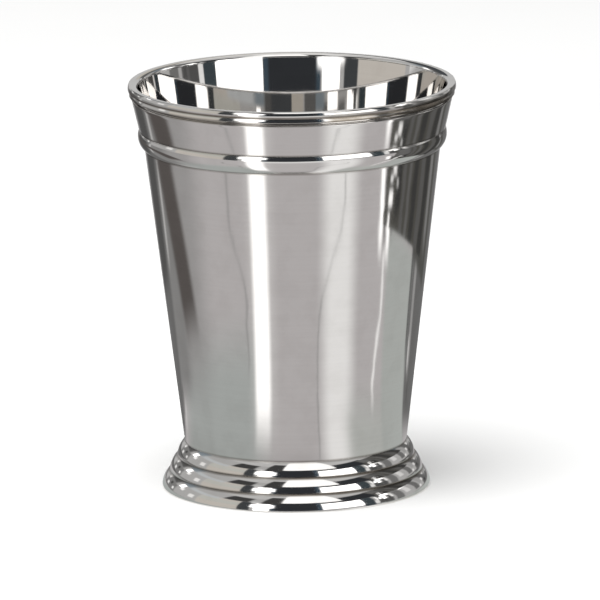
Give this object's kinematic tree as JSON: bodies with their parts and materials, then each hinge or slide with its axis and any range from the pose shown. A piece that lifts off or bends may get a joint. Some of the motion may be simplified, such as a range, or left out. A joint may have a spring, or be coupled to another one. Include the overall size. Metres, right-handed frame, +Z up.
{
  "type": "julep cup",
  "caption": "Tapered polished metal drinking beaker with a flared lip, a rounded rim moulding, a collar bead and a stepped reeded foot.",
  "frame": {"origin": "centre of the ring that the cup stands on, at table height", "axes": "+Z up along the cup's axis of turning; -Y faces the picture's camera, +X to its right"},
  "size_m": [0.0862, 0.0862, 0.108],
  "materials": {
    "polished_wall": "polished, with faint turning marks and waves",
    "polished_moulding": "bright polished",
    "turned_base": "satin, with turning rings"
  },
  "bodies": {
    "root": {"cup_wall": "polished_wall", "floor_pan": "turned_base", "lip_band": "polished_wall", "collar_bead": "polished_moulding", "rim_moulding": "polished_moulding", "foot_collet": "turned_base", "foot_reed_upper": "polished_moulding", "foot_reed_middle": "polished_moulding", "foot_reed_lower": "polished_moulding"}
  },
  "joints": []
}
